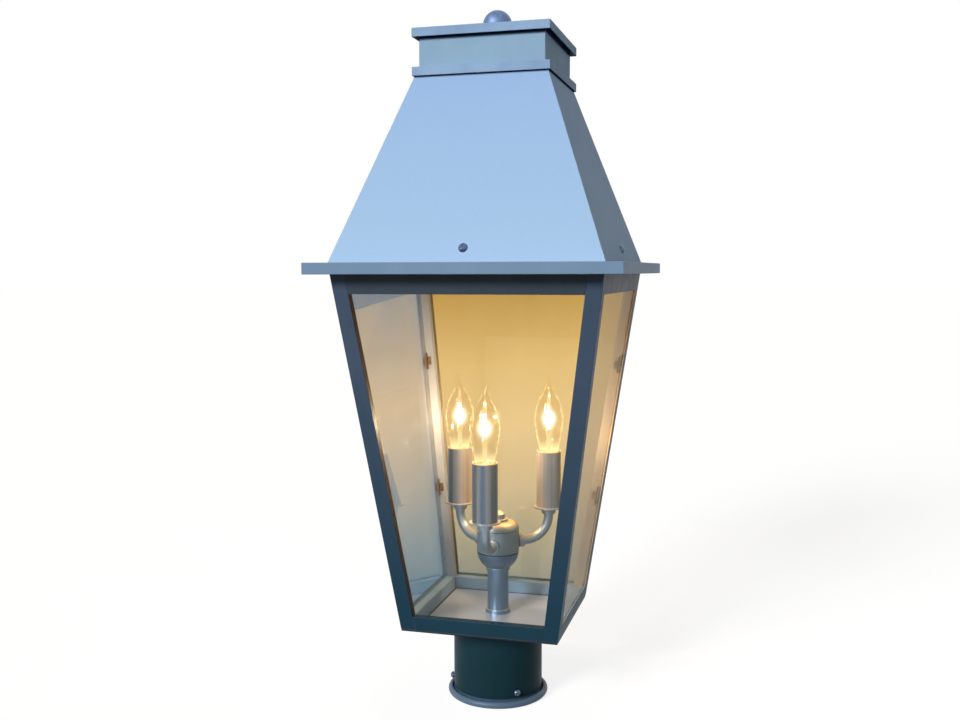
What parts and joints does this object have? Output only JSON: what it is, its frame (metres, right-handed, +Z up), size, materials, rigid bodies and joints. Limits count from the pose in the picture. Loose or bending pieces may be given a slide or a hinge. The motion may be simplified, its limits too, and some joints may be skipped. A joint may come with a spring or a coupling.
{
  "type": "post top lantern",
  "caption": "Tapered square post top lantern with four clear panes, a hipped roof that lifts off, a ball finial and a candle cluster, on a round post fitter.",
  "frame": {"origin": "centre of the post fitter's mouth, at its lowest edge", "axes": "+Z up, -Y out of the front pane, +X out of the right pane"},
  "size_m": [0.259, 0.259, 0.6087],
  "materials": {
    "frame_paint": "satin metallic blue-grey paint",
    "cluster_finish": "satin metallic grey paint",
    "pane_glass": "clear, polished",
    "bulb_glass": "clear, thin",
    "clip_brass": "bright sheet",
    "bulb_cap": "bright",
    "screw_steel": "dark, slotted",
    "zinc_steel": "zinc plated",
    "socket_insulator": "moulded",
    "filament": "wire on a glass mount"
  },
  "bodies": {
    "root": {"post_fitter": "frame_paint", "base_plate": "frame_paint", "corner_post_front_right": "frame_paint", "corner_post_right_back": "frame_paint", "corner_post_back_left": "frame_paint", "corner_post_left_front": "frame_paint", "bottom_rail_front": "frame_paint", "bottom_rail_right": "frame_paint", "bottom_rail_back": "frame_paint", "bottom_rail_left": "frame_paint", "top_rail_front": "frame_paint", "top_rail_right": "frame_paint", "top_rail_back": "frame_paint", "top_rail_left": "frame_paint", "glass_pane_front": "pane_glass", "glass_pane_right": "pane_glass", "glass_pane_back": "pane_glass", "glass_pane_left": "pane_glass", "glass_clips": "clip_brass", "roof_brim": "frame_paint", "center_nipple": "zinc_steel", "nipple_locknut": "zinc_steel", "stem_tube": "cluster_finish", "hub_bowl": "cluster_finish", "hub_body": "cluster_finish", "hub_cap": "cluster_finish", "hub_finial": "cluster_finish", "arm_front": "cluster_finish", "arm_right": "cluster_finish", "arm_left": "cluster_finish", "arm_collars": "cluster_finish", "arm_locknuts": "zinc_steel", "candle_cups": "cluster_finish", "candle_sleeve_front": "cluster_finish", "candle_sleeve_right": "cluster_finish", "candle_sleeve_left": "cluster_finish", "candle_sockets": "socket_insulator"},
    "roof": {"roof_shell": "frame_paint", "roof_nuts": "zinc_steel", "neck_ring": "frame_paint", "chimney": "frame_paint", "chimney_cap": "frame_paint", "chimney_bridge": "frame_paint", "ball_finial": "frame_paint"},
    "roof_screw_front": {"roof_screw_front": "screw_steel"},
    "roof_screw_right": {"roof_screw_right": "screw_steel"},
    "roof_screw_back": {"roof_screw_back": "screw_steel"},
    "roof_screw_left": {"roof_screw_left": "screw_steel"},
    "set_screw_front": {"set_screw_front": "screw_steel"},
    "set_screw_back": {"set_screw_back": "screw_steel"},
    "set_screw_left": {"set_screw_left": "screw_steel"},
    "bulb_front": {"bulb_base_front": "bulb_cap", "bulb_glass_front": "bulb_glass", "bulb_filament_front": "filament"},
    "bulb_right": {"bulb_base_right": "bulb_cap", "bulb_glass_right": "bulb_glass", "bulb_filament_right": "filament"},
    "bulb_left": {"bulb_base_left": "bulb_cap", "bulb_glass_left": "bulb_glass", "bulb_filament_left": "filament"}
  },
  "joints": [
    {"name": "roof_lift", "type": "slide", "parent": "root", "child": "roof", "axis": [0, 0, 1], "range_m": [0, 0.12]},
    {"name": "roof_screw_front_undo", "type": "slide", "parent": "roof", "child": "roof_screw_front", "axis": [0, -0.9399, 0.3415], "range_m": [0, 0.012]},
    {"name": "roof_screw_right_undo", "type": "slide", "parent": "roof", "child": "roof_screw_right", "axis": [0.9399, 0, 0.3415], "range_m": [0, 0.012]},
    {"name": "roof_screw_back_undo", "type": "slide", "parent": "roof", "child": "roof_screw_back", "axis": [0, 0.9399, 0.3415], "range_m": [0, 0.012]},
    {"name": "roof_screw_left_undo", "type": "slide", "parent": "roof", "child": "roof_screw_left", "axis": [-0.9399, 0, 0.3415], "range_m": [0, 0.012]},
    {"name": "set_screw_front_undo", "type": "slide", "parent": "root", "child": "set_screw_front", "axis": [0.6225, -0.7826, 0], "range_m": [-0.0011, 0.004]},
    {"name": "set_screw_back_undo", "type": "slide", "parent": "root", "child": "set_screw_back", "axis": [0.3665, 0.9304, 0], "range_m": [-0.0011, 0.004]},
    {"name": "set_screw_left_undo", "type": "slide", "parent": "root", "child": "set_screw_left", "axis": [-0.989, -0.1478, 0], "range_m": [-0.0011, 0.004]},
    {"name": "bulb_front_lift", "type": "slide", "parent": "root", "child": "bulb_front", "axis": [0, 0, 1], "range_m": [0, 0.03]},
    {"name": "bulb_right_lift", "type": "slide", "parent": "root", "child": "bulb_right", "axis": [0, 0, 1], "range_m": [0, 0.03]},
    {"name": "bulb_left_lift", "type": "slide", "parent": "root", "child": "bulb_left", "axis": [0, 0, 1], "range_m": [0, 0.03]}
  ]
}
